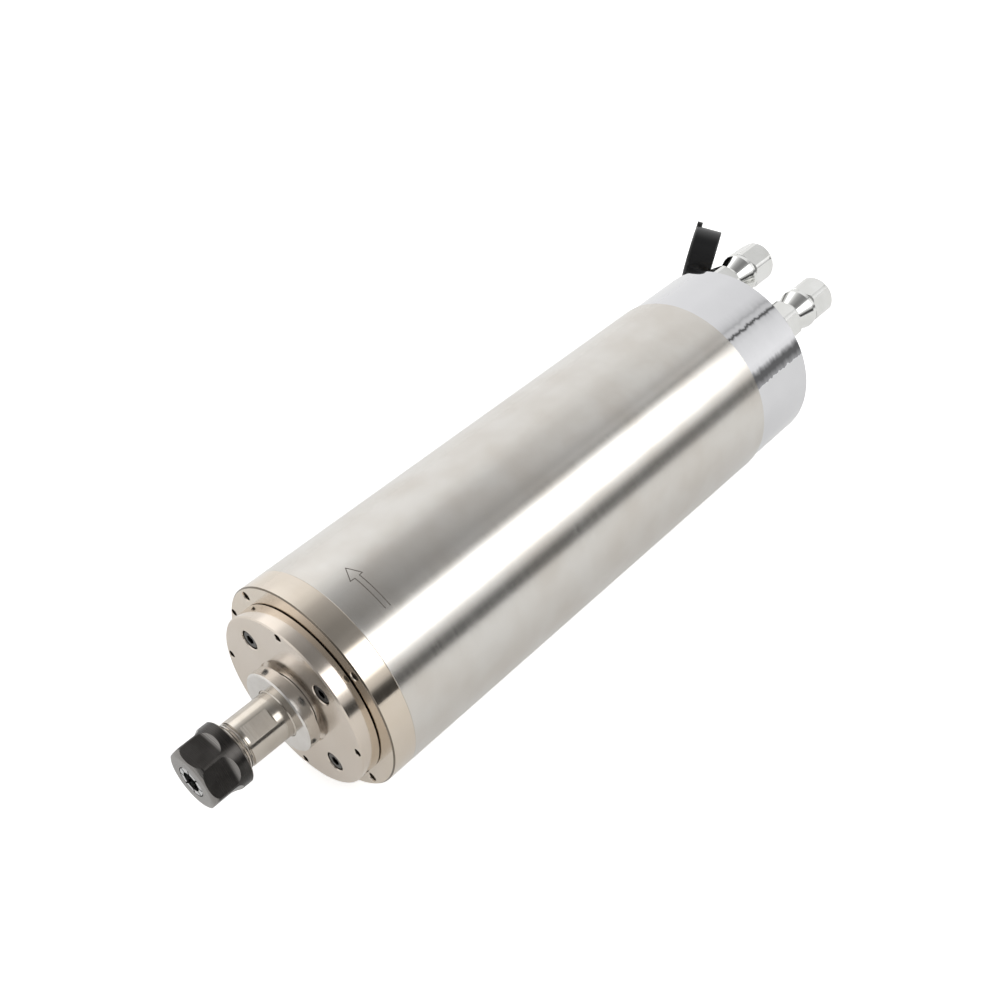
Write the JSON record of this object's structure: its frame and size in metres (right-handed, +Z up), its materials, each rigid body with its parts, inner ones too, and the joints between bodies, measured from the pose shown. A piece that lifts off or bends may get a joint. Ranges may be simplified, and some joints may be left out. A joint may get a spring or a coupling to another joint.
{
  "type": "water-cooled motor spindle",
  "caption": "Round-bodied electric spindle that holds a small rotary cutter in a collet and is cooled by water through two hose fittings.",
  "frame": {"origin": "on the spindle's axis, halfway along the shell that a clamp grips", "axes": "X along the axis with the nose towards -X and the hose fittings towards +X; +Z up as the spindle lies, +Y to the right seen from the nose's side with +Z up"},
  "size_m": [0.262, 0.065, 0.0654],
  "materials": {
    "polished_nickel_steel": "polished, warm nickel tint",
    "ground_stainless": "satin ground",
    "polished_cap": "polished",
    "chromed_fitting": "mirror",
    "ground_steel": "ground",
    "blackened_steel": "black oxide",
    "collet_steel": "ground",
    "bearing_steel": "polished",
    "dark_screw_steel": "black oxide",
    "machined_aluminium": "machined",
    "core_laminations": "stacked laminations",
    "rotor_aluminium": "cast",
    "copper_winding": "enamelled copper",
    "black_rubber": "matte",
    "red_wire": "matte",
    "black_plastic": "matte",
    "brass_part": "machined",
    "pale_plastic": "smooth"
  },
  "bodies": {
    "housing": {"front_cover": "polished_nickel_steel", "front_cover_screws": "dark_screw_steel", "front_housing": "polished_nickel_steel", "flange_screws": "dark_screw_steel", "shell": "ground_stainless", "cooling_sleeve": "machined_aluminium", "sleeve_seals": "black_rubber", "port_seals": "black_rubber", "stator_core": "core_laminations", "stator_windings": "copper_winding", "rear_housing": "machined_aluminium", "rear_bearing_cover": "machined_aluminium", "preload_spring": "ground_steel", "front_outer_rings": "bearing_steel", "rear_outer_ring": "bearing_steel", "rear_cap": "polished_cap", "rear_cap_screws": "dark_screw_steel", "socket_shell": "chromed_fitting", "socket_thread": "chromed_fitting", "socket_nut": "chromed_fitting", "socket_insert": "black_plastic", "socket_pins": "brass_part", "lead_wires": "red_wire", "supply_fitting": "chromed_fitting", "return_fitting": "chromed_fitting", "fitting_threads": "chromed_fitting", "fitting_washers": "brass_part"},
    "rotor": {"shaft": "ground_steel", "nose_thread": "ground_steel", "dust_collar": "ground_steel", "front_inner_rings": "bearing_steel", "rear_inner_ring": "bearing_steel", "rear_lock_nut": "dark_screw_steel", "rotor_core": "core_laminations", "rotor_cage": "rotor_aluminium"},
    "front_ball_set": {"front_ball_cages": "brass_part", "front_balls": "bearing_steel"},
    "rear_ball_set": {"rear_ball_cage": "brass_part", "rear_balls": "bearing_steel"},
    "collet": {"collet": "collet_steel"},
    "collet_nut": {"collet_nut": "blackened_steel"},
    "strap_ring": {"dust_cap_ring": "black_rubber"},
    "dust_cap": {"dust_cap": "black_rubber"},
    "supply_sleeve": {"supply_sleeve": "pale_plastic"},
    "supply_nut": {"supply_nut": "chromed_fitting"},
    "return_sleeve": {"return_sleeve": "pale_plastic"},
    "return_nut": {"return_nut": "chromed_fitting"}
  },
  "joints": [
    {"name": "rotor_spin", "type": "hinge", "parent": "housing", "child": "rotor", "pos_m": [0, 0, 0], "axis": [-1, 0, 0], "continuous": true},
    {"name": "front_cage_spin", "type": "hinge", "parent": "housing", "child": "front_ball_set", "pos_m": [-0.0768, 0, 0], "axis": [-1, 0, 0], "continuous": true},
    {"name": "rear_cage_spin", "type": "hinge", "parent": "housing", "child": "rear_ball_set", "pos_m": [0.0675, 0, 0], "axis": [-1, 0, 0], "continuous": true},
    {"name": "collet_draw", "type": "slide", "parent": "rotor", "child": "collet", "axis": [-1, 0, 0], "range_m": [0, 0.0075]},
    {"name": "collet_nut_turn", "type": "hinge", "parent": "collet", "child": "collet_nut", "pos_m": [-0.1215, 0, 0], "axis": [-1, 0, 0], "range_deg": [0, 3600]},
    {"name": "strap_ring_turn", "type": "hinge", "parent": "housing", "child": "strap_ring", "pos_m": [0.10675, 0.00601, -0.00601], "axis": [1, 0, 0], "range_deg": [-75, 0]},
    {"name": "dust_cap_flex", "type": "hinge", "parent": "strap_ring", "child": "dust_cap", "pos_m": [0.1108, 0.0172, 0.00884], "axis": [-0.3907, -0.7351, 0.554], "range_deg": [-12, 15]},
    {"name": "supply_sleeve_slide", "type": "slide", "parent": "housing", "child": "supply_sleeve", "axis": [1, 0, 0], "range_m": [0, 0.006]},
    {"name": "supply_nut_turn", "type": "hinge", "parent": "supply_sleeve", "child": "supply_nut", "pos_m": [0.1287, 0.00869, 0.02151], "axis": [1, 0, 0], "range_deg": [0, 2160]},
    {"name": "return_sleeve_slide", "type": "slide", "parent": "housing", "child": "return_sleeve", "axis": [1, 0, 0], "range_m": [0, 0.006]},
    {"name": "return_nut_turn", "type": "hinge", "parent": "return_sleeve", "child": "return_nut", "pos_m": [0.1287, -0.01552, 0.01724], "axis": [1, 0, 0], "range_deg": [0, 2160]}
  ],
  "couplings": [
    {"joint": "front_cage_spin", "follows": "rotor_spin", "ratio": 0.3987},
    {"joint": "rear_cage_spin", "follows": "rotor_spin", "ratio": 0.381},
    {"joint": "collet_draw", "follows": "collet_nut_turn", "m_per_rad": 0.00011936},
    {"joint": "supply_sleeve_slide", "follows": "supply_nut_turn", "m_per_rad": 0.00015915},
    {"joint": "return_sleeve_slide", "follows": "return_nut_turn", "m_per_rad": 0.00015915}
  ]
}
